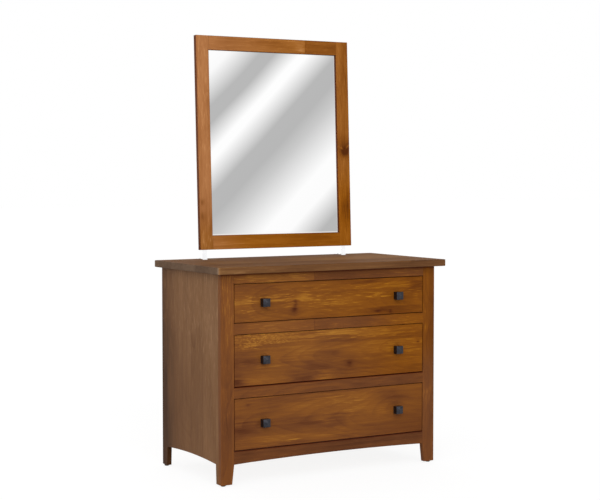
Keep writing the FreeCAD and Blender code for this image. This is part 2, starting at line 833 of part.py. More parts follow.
make_top_board()
for side, sign in SIDES:
    make_side_panel(side, sign)
    make_stile(side, sign)
for name, low, high in RAILS:
    make_rail(name, low, high)
make_inside()
make_glides()
for drawer in DRAWERS:
    make_drawer_front(drawer)
    for side, sign in SIDES:
        make_drawer_side(drawer, side, sign)
        make_knob(drawer, side, sign)
    make_drawer_back(drawer)
    make_drawer_bottom(drawer)
    make_knob_bolts(drawer)
    make_slides(drawer)
for side, sign in SIDES:
    make_mirror_stile(side, sign)
    make_bracket(side, sign)
make_mirror_rail("mirror_rail_bottom", as_length(0), 1)
make_mirror_rail("mirror_rail_top", glass_top, -1)
make_mirror_panels()
doc.recompute()

# Every feature has to hold, every pad has to add and every pocket has to cut
for item in doc.Objects:
    if "Invalid" in item.State or "Error" in item.State:
        raise RuntimeError("%s did not build: %s" % (item.Label, item.State))
    if item.TypeId in ("PartDesign::Pad", "PartDesign::Pocket"):
        base = item.BaseFeature
        before = base.Shape.Volume if base else 0
        grew = item.Shape.Volume - before
        if (grew <= 0) == (item.TypeId != "PartDesign::Pocket"):
            raise RuntimeError("%s changed nothing" % item.Label)
for item in nodes:
    if item.Shape.isNull() or not item.Shape.isValid():
        raise RuntimeError("%s has no valid shape" % item.Label)

os.makedirs("parts", exist_ok=True)
for item in nodes:
    item.Shape.exportStep("parts/%s.step" % item.Label)
print("%d nodes written" % len(nodes))
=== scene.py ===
import bmesh
import bpy
import json
import math
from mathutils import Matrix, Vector

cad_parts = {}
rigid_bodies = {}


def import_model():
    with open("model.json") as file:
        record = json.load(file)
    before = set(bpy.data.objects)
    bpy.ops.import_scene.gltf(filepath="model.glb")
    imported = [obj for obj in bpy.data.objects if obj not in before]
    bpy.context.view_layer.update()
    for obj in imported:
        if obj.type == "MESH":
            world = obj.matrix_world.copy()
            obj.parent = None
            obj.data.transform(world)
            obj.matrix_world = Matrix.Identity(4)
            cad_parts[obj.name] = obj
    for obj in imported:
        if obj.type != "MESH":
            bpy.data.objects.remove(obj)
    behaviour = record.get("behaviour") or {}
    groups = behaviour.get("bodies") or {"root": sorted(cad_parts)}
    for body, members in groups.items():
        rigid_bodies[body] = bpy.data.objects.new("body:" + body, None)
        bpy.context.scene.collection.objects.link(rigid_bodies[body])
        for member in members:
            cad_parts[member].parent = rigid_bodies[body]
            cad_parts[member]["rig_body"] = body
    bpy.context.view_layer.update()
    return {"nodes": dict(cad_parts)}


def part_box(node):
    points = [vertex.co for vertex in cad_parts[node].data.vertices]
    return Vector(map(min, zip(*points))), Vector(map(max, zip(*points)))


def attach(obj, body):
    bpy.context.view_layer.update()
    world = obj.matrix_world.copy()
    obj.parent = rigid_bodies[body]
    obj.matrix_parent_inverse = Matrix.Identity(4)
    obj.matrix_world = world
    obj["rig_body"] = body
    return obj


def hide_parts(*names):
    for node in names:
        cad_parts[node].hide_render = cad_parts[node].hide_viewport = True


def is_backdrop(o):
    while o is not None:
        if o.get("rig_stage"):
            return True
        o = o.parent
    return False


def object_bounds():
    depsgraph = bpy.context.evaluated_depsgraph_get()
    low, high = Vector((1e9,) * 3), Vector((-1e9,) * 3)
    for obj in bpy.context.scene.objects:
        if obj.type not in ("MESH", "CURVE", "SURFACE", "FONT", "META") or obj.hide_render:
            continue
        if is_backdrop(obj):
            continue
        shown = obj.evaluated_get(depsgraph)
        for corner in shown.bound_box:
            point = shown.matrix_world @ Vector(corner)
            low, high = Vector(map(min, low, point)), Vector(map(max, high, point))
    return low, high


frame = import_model()

# Side panels: solid boards glued edge to edge, stained brown and lacquered. Their lower edges are
# cut to a shallow arch between two feet, and every edge that shows is eased by hand.


def stain(red, green, blue):
    """A colour as a colour chart prints it, from 0 to 255, turned into the shader's linear scale."""
    shares = [part / 255 for part in (red, green, blue)]
    return [s / 12.92 if s <= 0.04045 else ((s + 0.055) / 1.055) ** 2.4 for s in shares] + [1.0]


class Nodes:
    """Short calls that each add one node to a tree."""

    def __init__(self, tree):
        self.tree = tree

    def feed(self, socket, value):
        if isinstance(value, bpy.types.NodeSocket):
            self.tree.links.new(value, socket)
        else:
            socket.default_value = value

    def add(self, kind, settings=None, **values):
        node = self.tree.nodes.new(kind)
        for name, value in (settings or {}).items():
            setattr(node, name, value)
        for name, value in values.items():
            self.feed(node.inputs[name.replace("_", " ")], value)
        return node

    def math(self, operation, *values):
        node = self.tree.nodes.new("ShaderNodeMath")
        node.operation = operation
        for socket, value in zip(node.inputs, values):
            self.feed(socket, value)
        return node.outputs[0]

    def total(self, *values):
        """Adds up several values."""
        result = values[0]
        for value in values[1:]:
            result = self.math("ADD", result, value)
        return result

    def scaled(self, value, factor, middle=0.0):
        """A value about a middle, made larger or smaller."""
        return self.math("MULTIPLY", self.math("SUBTRACT", value, middle), factor)

    def join(self, x, y, z):
        return self.add("ShaderNodeCombineXYZ", X=x, Y=y, Z=z).outputs[0]

    def noise(self, place, detail=2.0, twist=0.0, scale=1.0):
        values = {"Vector": place, "Scale": scale, "Detail": detail, "Distortion": twist}
        return self.add("ShaderNodeTexNoise", **values).outputs[0]

    def chance(self, value):
        """A number from 0 to 1 that changes with each whole step of the value."""
        settings = {"noise_dimensions": "1D"}
        return self.add("ShaderNodeTexWhiteNoise", settings, W=value).outputs[0]

    def spread(self, value, low, high, to_low=0.0, to_high=1.0):
        """A soft step between two values."""
        node = self.add("ShaderNodeMapRange", {"interpolation_type": "SMOOTHSTEP"}, Value=value)
        for name, number in (("From Min", low), ("From Max", high), ("To Min", to_low), ("To Max", to_high)):
            node.inputs[name].default_value = number
        return node.outputs[0]

    def hill(self, along, across, middle_along, middle_across, half_long, half_wide):
        """A soft oval, 1 at its middle."""
        far = self.math("ABSOLUTE", self.scaled(along, 1 / half_long, middle_along))
        wide = self.math("ABSOLUTE", self.scaled(across, 1 / half_wide, middle_across))
        squares = self.total(self.math("POWER", far, 2.0), self.math("POWER", wide, 2.0))
        return self.math("EXPONENT", self.scaled(squares, -1.0))

    def ramp(self, value, stops):
        node = self.add("ShaderNodeValToRGB", Fac=value)
        points = node.color_ramp.elements
        points.remove(points[1])
        points[0].position, points[0].color = stops[0]
        for place, colour in stops[1:]:
            points.new(place).color = colour
        return node.outputs[0]

    def blend(self, factor, first, second, kind="MIX"):
        node = self.add("ShaderNodeMix", {"data_type": "RGBA", "blend_type": kind})
        self.feed(node.inputs[0], factor)
        self.feed(node.inputs[6], first)
        self.feed(node.inputs[7], second)
        return node.outputs[2]


def grow_wood():
    """Sawn wood: yearly rings about a pith that leans in the board, fine fibres, streaks and clouds."""
    tree = bpy.data.node_groups.new("sawn_wood", "ShaderNodeTree")
    for name in ("Along", "Across", "Out", "Seed", "Ring", "Pith depth", "Pith side", "Pith lean"):
        tree.interface.new_socket(name, in_out="INPUT", socket_type="NodeSocketFloat")
    for name in ("Late", "Fibre", "Streak", "Cloud", "Curl", "Glint"):
        tree.interface.new_socket(name, in_out="OUTPUT", socket_type="NodeSocketFloat")
    n = Nodes(tree)
    source = n.add("NodeGroupInput").outputs
    result = n.add("NodeGroupOutput").inputs
    seed = source["Seed"]
    along = n.total(source["Along"], n.math("MULTIPLY", seed, 3.7))
    across = n.total(source["Across"], n.math("MULTIPLY", seed, 1.3))
    out = source["Out"]

    def stretched(long, wide):
        return n.join(n.math("MULTIPLY", along, long), n.math("MULTIPLY", across, wide),
                      n.math("MULTIPLY", out, wide))

    sway = n.scaled(n.noise(stretched(1.6, 6.0), 2.0), 0.07, 0.5)
    dip = n.scaled(n.noise(stretched(2.3, 4.0), 1.0), 0.05, 0.5)
    lean = n.math("MULTIPLY", source["Along"], source["Pith lean"])
    deep = n.total(out, source["Pith depth"], lean, dip)
    aside = n.total(n.math("SUBTRACT", source["Across"], source["Pith side"]), sway)
    radius = n.math("SQRT", n.total(n.math("MULTIPLY", deep, deep), n.math("MULTIPLY", aside, aside)))
    years = n.math("DIVIDE", radius, source["Ring"])
    year = n.math("FRACT", years)
    late = n.math("MULTIPLY", n.math("POWER", year, 2.2), n.spread(year, 0.86, 1.0, 1.0, 0.0))
    strong = n.math("MULTIPLY_ADD", n.chance(n.math("FLOOR", years)), 0.8, 0.3)
    n.feed(result["Late"], n.math("MULTIPLY", late, strong))
    n.feed(result["Fibre"], n.noise(stretched(15.0, 620.0), 2.0))
    n.feed(result["Streak"], n.noise(stretched(3.0, 80.0), 3.0))
    n.feed(result["Cloud"], n.noise(stretched(3.6, 12.0), 2.0))
    n.feed(result["Curl"], n.spread(n.noise(stretched(75.0, 250.0), 2.0, 0.8), 0.44, 0.64))
    n.feed(result["Glint"], n.spread(n.noise(stretched(20.0, 270.0), 3.0, 0.3), 0.54, 0.66))
    return tree


def fresh_material(name):
    """A material, its tree, its shader and the object's own coordinates."""
    material = bpy.data.materials.new(name)
    material.use_nodes = True
    n = Nodes(material.node_tree)
    place = n.add("ShaderNodeTexCoord").outputs["Object"]
    return material, n, n.tree.nodes["Principled BSDF"], place


sawn_wood = grow_wood()
# Where the four tones of a stain lie between its darkest and its lightest wood
SHARES = (0.0, 0.35, 0.6, 1.0)
# The reddish dark colour of the painted shade in gaps and under overhangs
EDGE_SHADE_TONE = (68, 15, 0)
# How far round a knot the grain bends, in knots, and how strongly
KNOT_REACH = 2.6
KNOT_BEND = -0.3
# Half the length of the dark seam where two pieces meet end to end
SEAM = 0.0025
# A limit beyond every edge of the object
FAR = 9.0


def stained_wood(name, grain, tones, seed, ring=0.0045, pith=(0.05, 0.0, 0.03), boards=None, joint=None,
                 patches=(), knots=(), curly=(), gleams=(), rims=(), layer=None, fade=None, rough=0.46,
                 gloss=0.1, clouds=0.6, streaks=0.4, rings=0.14, glints=0.14, fibres=0.22, sparkle=1.0):
    """A stained board, with procedural grain that runs through its whole thickness.

    grain names the axes along, across and through the board. ring is the width of a year, and pith is
    how deep the heart of the tree lies behind the board, where it lies across, and how it leans.
    boards is (place of one glued joint, width of a board), and joint is (place, change of tone) for
    two pieces that meet end to end. patches, knots, curly and gleams are soft ovals, each (along,
    across, half its length, half its width, strength). rims are painted shade along the edges of a
    field, where a gap or an overhang shades it, each (from, to, lower, upper, width, strength). layer
    changes the tone by depth, and fade is (from, to, other tones) along the board. The last shares
    are how strongly each part of the figure shows.
    """
    material, n, shader, place = fresh_material(name)
    split = n.add("ShaderNodeSeparateXYZ", Vector=place).outputs
    along, across, out = (split["XYZ".index(axis)] for axis in grain)
    board_seed = seed
    tone = 0.5
    if boards:
        start, wide = boards
        index = n.math("FLOOR", n.scaled(across, 1 / wide, start))
        lot = n.chance(n.total(index, seed * 1.7))
        board_seed = n.total(n.math("MULTIPLY", lot, 9.0), seed)
        tone = n.math("MULTIPLY_ADD", lot, 0.26, 0.37)
    if joint:
        step = n.math("GREATER_THAN", along, joint[0])
        board_seed = n.total(n.math("MULTIPLY", step, 5.3), board_seed)
        seam = n.hill(along, along, joint[0], joint[0], SEAM, SEAM)
        tone = n.total(n.scaled(step, joint[1], 0.5), n.math("MULTIPLY", seam, -0.2), tone)
    # The grain flows round each knot
    flow = across
    for far, side, half_long, half_wide, dark in knots:
        near = n.hill(along, across, far, side, half_long * KNOT_REACH, half_wide * KNOT_REACH)
        flow = n.total(flow, n.math("MULTIPLY", n.scaled(across, KNOT_BEND, side), near))
    wood = n.add("ShaderNodeGroup", {"node_tree": sawn_wood}, Along=along, Across=flow, Out=out)
    for socket, value in zip(list(wood.inputs)[3:], (board_seed, ring, pith[0], pith[1], pith[2])):
        n.feed(socket, value)
    late, fibre, streak, cloud, curl, glint = wood.outputs
    shine = n.math("MULTIPLY", glint, n.spread(cloud, 0.4, 0.62, 0.1, glints))
    value = n.total(
        n.scaled(cloud, clouds, 0.5), n.scaled(streak, streaks, 0.5), n.scaled(fibre, fibres, 0.5),
        n.math("MULTIPLY", late, -rings), shine, tone)
    ragged = n.total(n.scaled(streak, 0.09, 0.5), across)
    loose = n.total(n.scaled(cloud, 0.2, 0.5), along)
    for far, side, half_long, half_wide, amount in patches:
        oval = n.hill(loose, ragged, far, side, half_long, half_wide)
        if amount > 0:
            oval = n.math("MULTIPLY", oval, n.math("MULTIPLY_ADD", glint, sparkle, 1 - 0.3 * sparkle))
        value = n.total(value, n.math("MULTIPLY", oval, amount))
    for figure, places in ((curl, curly), (glint, gleams)):
        for far, side, half_long, half_wide, amount in places:
            oval = n.hill(loose, ragged, far, side, half_long, half_wide)
            value = n.total(value, n.math("MULTIPLY", n.math("MULTIPLY", oval, figure), amount))
    for far, side, half_long, half_wide, dark in knots:
        rough_side = n.total(n.scaled(streak, 0.03, 0.5), across)
        heart = n.hill(along, rough_side, far, side, half_long, half_wide)
        halo = n.hill(along, rough_side, far, side, half_long * 2.2, half_wide * 1.8)
        value = n.total(value, n.math("MULTIPLY", heart, -dark), n.math("MULTIPLY", halo, -dark * 0.35))
    if layer:
        value = n.total(value, n.spread(out, *layer))
    colour = n.ramp(value, [(share, stain(*tone)) for share, tone in zip(SHARES, tones)])
    if fade:
        other = n.ramp(value, [(share, stain(*tone)) for share, tone in zip(SHARES, fade[2])])
        colour = n.blend(n.spread(along, fade[0], fade[1]), colour, other)
    # Painted shade along an edge, where a gap or the top board's overhang shades it
    for start, end, lower, upper, wide, dark in rims:
        ends = [n.math("SUBTRACT", along, start), n.math("SUBTRACT", end, along),
                n.math("SUBTRACT", across, lower), n.math("SUBTRACT", upper, across)]
        nearest = n.math("MINIMUM", n.math("MINIMUM", ends[0], ends[1]), n.math("MINIMUM", ends[2], ends[3]))
        colour = n.blend(n.spread(nearest, 0.0, wide, dark, 0.0), colour, stain(*EDGE_SHADE_TONE))
    n.feed(shader.inputs["Base Color"], colour)
    uneven = n.total(n.scaled(fibre, 0.16, 0.5), n.scaled(streak, 0.2, 0.5), rough)
    n.feed(shader.inputs["Roughness"], uneven)
    shader.inputs["Specular IOR Level"].default_value = gloss
    height = n.total(n.math("MULTIPLY", fibre, 0.5), n.math("MULTIPLY", late, -0.4))
    bump = n.add("ShaderNodeBump", Strength=0.35, Distance=0.0004, Height=height)
    n.feed(shader.inputs["Normal"], bump.outputs[0])
    return material


def show(name, form, material, node=None):
    """Turns a finished form into a piece that stands for a node of the frame, or is fixed to the root."""
    mesh = bpy.data.meshes.new(name)
    bmesh.ops.recalc_face_normals(form, faces=form.faces)
    form.to_mesh(mesh)
    form.free()
    mesh.materials.append(material)
    mesh.shade_smooth()
    mesh.set_sharp_from_angle(angle=math.radians(40))
    piece = bpy.data.objects.new(name, mesh)
    bpy.context.scene.collection.objects.link(piece)
    even = piece.modifiers.new("even_shading", "WEIGHTED_NORMAL")
    even.keep_sharp = True
    if node:
        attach(piece, frame["nodes"][node]["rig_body"])
        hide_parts(node)
    else:
        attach(piece, "root")
    return piece


# An edge that turns by more than SHARP can be eased, and faces that turn by less than FLAT are one
SHARP = 0.6
FLAT = 0.004
# Corners this near to each other are one
WELD = 0.00001


def ease(form, width, wanted, steps=3):
    """Rounds the sharp edges whose middle passes a test."""
    chosen = []
    for edge in form.edges:
        sharp = len(edge.link_faces) == 2 and edge.calc_face_angle(0) > SHARP
        if sharp and wanted((edge.verts[0].co + edge.verts[1].co) / 2):
            chosen.append(edge)
    bmesh.ops.bevel(form, geom=chosen, offset=width, offset_type="OFFSET", segments=steps, profile=0.5,
                    affect="EDGES", clamp_overlap=True)


def merged(node):
    """The frame's own mesh of a piece, with its loose triangles joined into whole faces."""
    form = bmesh.new()
    form.from_mesh(frame["nodes"][node].data)
    bmesh.ops.remove_doubles(form, verts=form.verts, dist=WELD)
    bmesh.ops.dissolve_limit(form, angle_limit=FLAT, verts=form.verts, edges=form.edges)
    return form


def finished(node, material, *eases):
    """A piece of the frame with some of its edges eased, each by (width, test)."""
    form = merged(node)
    for width, wanted in eases:
        ease(form, width, wanted)
    return show(node + "_finished", form, material, node)


def anywhere(place):
    return True


# A point this near to a face lies on it
NEAR = 0.001
BROWN = ((64, 38, 18), (102, 68, 40), (122, 86, 55), (146, 110, 78))
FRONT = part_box("stile_left")[0].y
BEHIND_STILE = FRONT + 0.03
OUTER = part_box("stile_right")[1].x
SIDE_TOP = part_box("side_panel_left")[1].z
UNDER_TOP = 0.8
FOOT_TOP = 0.1
SIDE_EASE = 0.0012
FOOT_EASE = 0.0005
# How far down painted shade lies on the sides, under the top board's overhang
SIDE_SHADE = 0.006
SIDE_BOARD = 0.1085
SIDE_JOINT = 0.0135
SIDE_MARKS = ((0.4, 0.27, 0.9, 0.11, -0.3), (0.4, -0.16, 0.9, 0.1, 0.12), (0.85, 0.0, 0.26, 0.4, 0.24),
              (0.1, 0.24, 0.4, 0.12, -0.14), (0.61, -0.05, 0.08, 0.3, 0.13))

for side, sign, seed in (("left", -1, 2.0), ("right", 1, 6.0)):
    boards = stained_wood(
        "side_boards_" + side, "ZYX", BROWN, seed, ring=0.004, boards=(SIDE_JOINT, SIDE_BOARD),
        pith=(0.06, 0.0, 0.02), rough=0.5, gloss=0.06, clouds=0.4, streaks=0.3, rings=0.1, fibres=0.14,
        glints=0.06, patches=SIDE_MARKS, rims=((-FAR, SIDE_TOP, -FAR, FAR, SIDE_SHADE, 0.25),))
    outer_face = sign * OUTER
    finished("side_panel_" + side, boards,
             (SIDE_EASE, lambda p: abs(p.x - outer_face) < NEAR and p.y > BEHIND_STILE and p.z < UNDER_TOP),
             (FOOT_EASE, lambda p: p.z < FOOT_TOP and p.y > BEHIND_STILE))

# Face frame: two upright stiles that run down as the tapered front feet, and four rails tenoned
# between them. All of it is solid, sanded flush at the joints and stained with the drawers.
HONEY = ((72, 34, 18), (106, 62, 32), (130, 79, 33), (166, 112, 44))
AMBER = ((72, 30, 6), (107, 58, 12), (129, 74, 14), (166, 108, 24))
RUDDY = ((66, 34, 18), (102, 60, 32), (124, 74, 34), (158, 104, 42))

STILE_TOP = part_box("stile_left")[1].z
# How far down painted shade lies on the stiles and the top rail, under the top board's overhang
OVERHANG_SHADE = 0.014
CORNER_EASE = 0.0022
CORNER_FROM = 0.05
FRAME_EASE = 0.0006
EDGE_DEPTH = 0.003
TAPER_TOP = 0.08
stile_marks = {
    "left": (
        (0.76, -0.48, 0.2, 0.04, 0.22), (0.25, -0.47, 0.2, 0.03, -0.12), (0.3, -0.48, 0.06, 0.03, 0.1)),
    "right": (
        (0.52, 0.48, 0.06, 0.04, -0.08), (0.62, 0.48, 0.22, 0.06, -0.07),
        (0.66, 0.462, 0.16, 0.009, 0.16), (0.6, 0.503, 0.3, 0.010, -0.14), (0.4, 0.48, 0.06, 0.04, -0.05),
        (0.1, 0.48, 0.2, 0.04, -0.12), (0.27, 0.48, 0.06, 0.03, 0.12), (0.305, 0.471, 0.012, 0.006, 0.3)),
}
for side, sign, seed in (("left", -1, 11.0), ("right", 1, 14.0)):
    upright = stained_wood(
        "stile_wood_" + side, "ZXY", RUDDY, seed, ring=0.005, pith=(0.03, sign * 0.5, 0.01),
        rims=((-FAR, STILE_TOP, -FAR, FAR, OVERHANG_SHADE, 1.0),), patches=stile_marks[side],
        fade=(0.35, 0.55, AMBER) if sign > 0 else None, gloss=0.06, clouds=0.5, streaks=0.34, glints=0.1)
    corner = sign * OUTER
    finished("stile_" + side, upright,
             (CORNER_EASE, lambda p: abs(p.x - corner) < NEAR and p.y < FRONT + NEAR and p.z > CORNER_FROM),
             (FRAME_EASE, lambda p: p.y < FRONT + EDGE_DEPTH or p.z < TAPER_TOP))

# Each rail: its seed, the place and change of tone where two pieces meet end to end, where its stain
# turns to amber, how strong the painted shade is along its lower and upper edge, and its patches
rail_looks = (
    ("top_rail", 21.0, (-0.083, -0.1), (0.2, 1.5), 0.25, 1.0, (
        (-0.14, 0.815, 0.07, 0.03, 0.24), (0.1, 0.815, 0.14, 0.04, -0.06),
        (-0.32, 0.815, 0.1, 0.04, 0.28), (0.33, 0.815, 0.09, 0.04, 0.2))),
    ("upper_divider_rail", 24.0, (-0.083, -0.1), (0.05, 0.4), 0.1, 0.2, (
        (-0.25, 0.62, 0.12, 0.04, 0.16), (-0.43, 0.62, 0.05, 0.04, -0.1), (0.36, 0.62, 0.14, 0.03, 0.2),
        (0.14, 0.62, 0.07, 0.03, -0.1), (0.02, 0.62, 0.1, 0.04, 0.14))),
    ("lower_divider_rail", 27.0, None, (0.2, 1.0), 0.2, 1.0, (
        (-0.32, 0.37, 0.08, 0.03, 0.06), (0.33, 0.36, 0.16, 0.04, -0.2), (-0.04, 0.36, 0.07, 0.04, -0.1),
        (0.16, 0.36, 0.08, 0.04, -0.16), (-0.4, 0.37, 0.05, 0.04, -0.08))),
    ("bottom_rail", 31.0, None, (0.3, 1.3), 0.2, 0.85, (
        (0.1, 0.11, 0.7, 0.08, -0.24), (0.05, 0.11, 0.1, 0.05, -0.08), (-0.4, 0.11, 0.05, 0.05, -0.1),
        (-0.2, 0.11, 0.08, 0.05, 0.1))),
)
# Widths of the painted shade along a rail's upper and lower edge, where a gap or the overhang shades it
RAIL_SHADE = 0.005
RAIL_RIM = 0.002
CLEAR_OF_STILES = 0.4
for node, seed, joint, turning, under, over, marks in rail_looks:
    low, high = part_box(node)
    shade = OVERHANG_SHADE if node == "top_rail" else RAIL_SHADE
    rail = stained_wood(
        node + "_wood", "XZY", RUDDY, seed, ring=0.005, pith=(0.04, 0.3, 0.02), joint=joint,
        rims=((-FAR, FAR, low.z, FAR, RAIL_RIM, under), (-FAR, FAR, -FAR, high.z, shade, over)),
        patches=marks, fade=(*turning, AMBER), gloss=0.06, clouds=0.4, streaks=0.34, glints=0.1)
    finished(node, rail, (FRAME_EASE, lambda p: p.y < FRONT + NEAR and abs(p.x) < CLEAR_OF_STILES))

# Top board: wide boards glued into one slab, rounded at its corners and along both edges.
# Its lacquer is rubbed down, so that it stays dull where it is seen almost edge on.
TOP_CORNER = 0.007
TOP_EASE = 0.003
CORNER_STEPS = 8


def rounded_slab(low, high, corner, edge):
    """A slab with rounded corners and rounded edges."""
    form = bmesh.new()
    ring = []
    tips = ((high.x, high.y), (low.x, high.y), (low.x, low.y), (high.x, low.y))
    for turn, (tip_x, tip_y) in enumerate(tips):
        middle_x = tip_x - math.copysign(corner, tip_x)
        middle_y = tip_y - math.copysign(corner, tip_y)
        for step in range(CORNER_STEPS + 1):
            angle = math.radians(90 * (turn + step / CORNER_STEPS))
            x = middle_x + corner * math.cos(angle)
            y = middle_y + corner * math.sin(angle)
            ring.append(form.verts.new((x, y, low.z)))
    base = form.faces.new(ring)
    grown = bmesh.ops.extrude_face_region(form, geom=[base])
    for item in grown["geom"]:
        if isinstance(item, bmesh.types.BMVert):
            item.co.z = high.z
    edges = [e for e in form.edges if abs(e.verts[0].co.z - e.verts[1].co.z) < 1e-6]
    bmesh.ops.bevel(form, geom=edges, offset=edge, offset_type="OFFSET", segments=4, profile=0.5,
                    affect="EDGES")
    return form


top_low, top_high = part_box("top_board")
TOP_BROWN = ((62, 40, 24), (94, 62, 38), (112, 76, 46), (138, 100, 62))
TOP_GREY = ((58, 44, 34), (86, 66, 52), (102, 81, 65), (128, 104, 84))
TOP_MARKS = (
    (0.35, -0.2875, 0.16, 0.012, -0.32), (-0.4, -0.2875, 0.12, 0.012, 0.11), (0.24, 0.1, 0.3, 0.26, 0.2),
    (-0.48, -0.2875, 0.05, 0.012, 0.14), (-0.5, 0.0, 0.06, 0.3, -0.1), (-0.1, 0.1, 0.12, 0.3, -0.1),
    (-0.22, -0.2875, 0.1, 0.012, -0.1), (0.1, -0.2875, 0.2, 0.012, -0.03))
# The slab's left end is greyer than the rest, and its upper face has a little painted shade, darker than its
# edges
END_GREY = (0.0008, 0.004)
FACE_SHADE = (0.004, 0.001)
top_wood = stained_wood(
    "top_boards", "XYZ", TOP_GREY, 41.0, ring=0.005, boards=(-0.2, 0.11), pith=(0.05, 0.0, 0.02),
    fade=(top_low.x + END_GREY[0], top_low.x + END_GREY[1], TOP_BROWN), rough=0.65, gloss=0.02, clouds=0.5,
    streaks=0.45, glints=0.1, layer=(top_high.z - FACE_SHADE[0], top_high.z - FACE_SHADE[1], 0.14, 0.1),
    patches=TOP_MARKS, knots=((top_low.x, top_low.y, 0.006, 0.006, -0.35),))
show("top_board_finished", rounded_slab(top_low, top_high, TOP_CORNER, TOP_EASE), top_wood, "top_board")

# Drawers: solid fronts set flush in the frame, a hair's gap all round, over boxes of clear
# lacquered wood with sliding dovetails at the front and dovetails at the back.

# Where each front's stain turns to amber, how strong the painted shade is in the gap along its lower and
# upper edge, and its figure: its seed and boards, its patches and knots, where it is curly, and where it
# gleams
drawer_looks = {
    "top": ((-0.6, 0.4), 0.2, 0.2, {
        "seed": 51.0, "sparkle": 1.0,
        "patches": (
            (-0.395, 0.727, 0.055, 0.010, 0.3), (-0.26, 0.735, 0.04, 0.007, 0.5),
            (-0.395, 0.69, 0.05, 0.010, 0.16), (-0.165, 0.731, 0.03, 0.017, 0.5),
            (-0.2, 0.71, 0.03, 0.02, 0.14), (-0.02, 0.72, 0.14, 0.014, 0.2),
            (0.21, 0.728, 0.06, 0.010, 0.2), (0.35, 0.763, 0.09, 0.010, 0.26),
            (0.18, 0.785, 0.1, 0.008, -0.3), (-0.40, 0.78, 0.1, 0.02, -0.1),
            (0.24, 0.66, 0.12, 0.012, -0.2), (-0.18, 0.77, 0.14, 0.02, 0.14),
            (-0.05, 0.69, 0.18, 0.02, 0.1), (0.42, 0.75, 0.04, 0.04, -0.24), (0.43, 0.7, 0.03, 0.02, 0.1),
            (0.4, 0.655, 0.12, 0.02, -0.16), (0.14, 0.768, 0.12, 0.016, 0.2),
            (0.0, 0.662, 0.12, 0.014, 0.1), (-0.03, 0.765, 0.08, 0.012, 0.1),
            (-0.14, 0.725, 0.16, 0.02, 0.12), (-0.33, 0.66, 0.08, 0.02, 0.12),
            (0.43, 0.72, 0.03, 0.02, 0.2)),
        "knots": (
            (-0.173, 0.707, 0.008, 0.016, 0.22), (-0.177, 0.684, 0.014, 0.015, 0.36),
            (0.225, 0.656, 0.016, 0.006, 0.22), (0.286, 0.654, 0.006, 0.006, 0.2)),
        "gleams": (
            (-0.395, 0.727, 0.06, 0.014, 0.6), (-0.26, 0.735, 0.05, 0.008, 0.5),
            (-0.395, 0.69, 0.05, 0.012, 0.35), (-0.02, 0.72, 0.15, 0.02, 0.35),
            (0.21, 0.728, 0.07, 0.014, 0.55), (0.38, 0.74, 0.06, 0.02, 0.2)),
    }),
    "middle": ((-0.1, 0.4), 0.9, 0.1, {
        "seed": 57.0, "sparkle": 0.6, "boards": (0.538, 0.11),
        "patches": (
            (-0.31, 0.578, 0.12, 0.022, 0.14), (-0.385, 0.548, 0.035, 0.010, 0.25),
            (-0.42, 0.48, 0.08, 0.046, -0.34), (-0.30, 0.408, 0.17, 0.014, 0.12),
            (0.02, 0.575, 0.14, 0.012, 0.34), (0.02, 0.505, 0.07, 0.018, -0.26),
            (-0.06, 0.443, 0.07, 0.02, -0.12), (0.27, 0.49, 0.16, 0.04, 0.1),
            (0.3, 0.575, 0.1, 0.012, 0.16), (-0.18, 0.53, 0.08, 0.03, 0.08),
            (-0.05, 0.45, 0.5, 0.05, -0.14), (0.3, 0.41, 0.2, 0.02, -0.1), (0.1, 0.58, 0.5, 0.025, 0.2),
            (-0.4, 0.46, 0.08, 0.03, 0.14), (-0.07, 0.455, 0.05, 0.03, -0.1),
            (-0.16, 0.405, 0.05, 0.02, -0.32), (-0.42, 0.405, 0.05, 0.02, -0.52),
            (-0.28, 0.47, 0.05, 0.026, 0.14), (-0.056, 0.41, 0.04, 0.016, 0.26),
            (0.05, 0.41, 0.04, 0.016, -0.1), (0.4, 0.52, 0.05, 0.02, 0.1),
            (-0.05, 0.47, 0.05, 0.02, -0.14), (0.06, 0.58, 0.06, 0.010, 0.14)),
        "knots": (
            (0.085, 0.450, 0.014, 0.013, 0.3), (0.427, 0.522, 0.006, 0.004, 0.5),
            (0.06, 0.462, 0.02, 0.006, 0.12)),
        "curly": (
            (-0.34, 0.584, 0.18, 0.010, 0.42), (-0.38, 0.556, 0.10, 0.022, 0.34),
            (-0.24, 0.562, 0.09, 0.016, 0.28)),
        "gleams": (
            (0.02, 0.575, 0.14, 0.014, 0.4), (-0.38, 0.548, 0.05, 0.014, 0.5),
            (0.36, 0.5, 0.09, 0.02, 0.2)),
    }),
    "bottom": ((-0.1, 1.1), 0.8, 0.2, {
        "seed": 63.0, "sparkle": 0.2, "boards": (0.226, 0.11),
        "patches": (
            (-0.40, 0.22, 0.09, 0.018, -0.3), (-0.29, 0.172, 0.12, 0.016, 0.24),
            (-0.186, 0.161, 0.02, 0.004, 0.4), (0.02, 0.31, 0.2, 0.03, 0.2),
            (0.30, 0.30, 0.06, 0.034, -0.22), (0.015, 0.22, 0.07, 0.03, -0.2),
            (-0.06, 0.165, 0.13, 0.022, 0.16), (-0.155, 0.235, 0.06, 0.03, -0.12),
            (0.4, 0.22, 0.06, 0.05, -0.02), (0.02, 0.25, 0.16, 0.03, 0.2), (0.24, 0.22, 0.07, 0.03, 0.12),
            (-0.08, 0.33, 0.2, 0.014, -0.2), (0.05, 0.19, 0.08, 0.05, 0.14),
            (0.12, 0.155, 0.1, 0.02, 0.06), (0.14, 0.265, 0.3, 0.02, 0.1),
            (-0.06, 0.215, 0.04, 0.02, 0.1)),
        "knots": ((-0.39, 0.315, 0.008, 0.006, 0.2),),
        "gleams": (
            (-0.186, 0.161, 0.03, 0.008, 0.6), (0.1, 0.31, 0.14, 0.02, 0.15)),
    }),
}
PALE = ((150, 108, 66), (196, 154, 106), (216, 178, 130), (230, 198, 152))
# How wide the painted shade is in the gaps round each drawer front
RIM = 0.003
BOX_EASE = 0.0012
